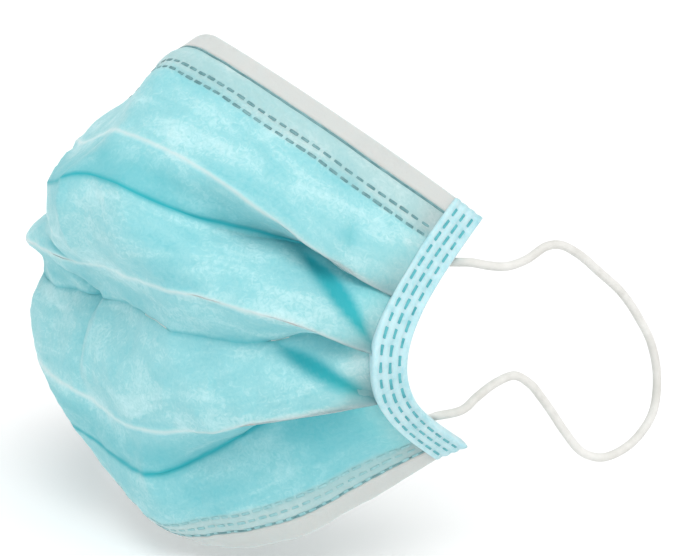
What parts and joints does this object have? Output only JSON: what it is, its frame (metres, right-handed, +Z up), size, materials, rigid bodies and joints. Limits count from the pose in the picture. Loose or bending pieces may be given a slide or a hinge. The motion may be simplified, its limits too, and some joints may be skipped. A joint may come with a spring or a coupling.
{
  "type": "surgical face mask",
  "caption": "Pleated disposable face mask in pale aqua nonwoven, opened out as worn, with white hems, a nose wire, welded side bindings and two elastic ear loops.",
  "frame": {"origin": "middle of the top edge, where the mask sits on the bridge of the nose", "axes": "+X towards the wearer's left, -Y the way the wearer faces, +Z up"},
  "size_m": [0.1384, 0.1213, 0.1185],
  "materials": {
    "blue_nonwoven": "matte spunbond, pale aqua",
    "white_nonwoven": "matte spunbond, off-white",
    "welded_nonwoven": "pressed and welded spunbond",
    "coated_wire": "white coating over wire",
    "elastic": "knitted elastic, off-white"
  },
  "bodies": {
    "root": {"pleated_sheet": "blue_nonwoven", "top_hem": "white_nonwoven", "bottom_hem": "white_nonwoven", "nose_wire": "coated_wire", "side_binding_left": "welded_nonwoven", "side_binding_right": "welded_nonwoven", "ear_loop_left": "elastic", "ear_loop_right": "elastic"}
  },
  "joints": []
}
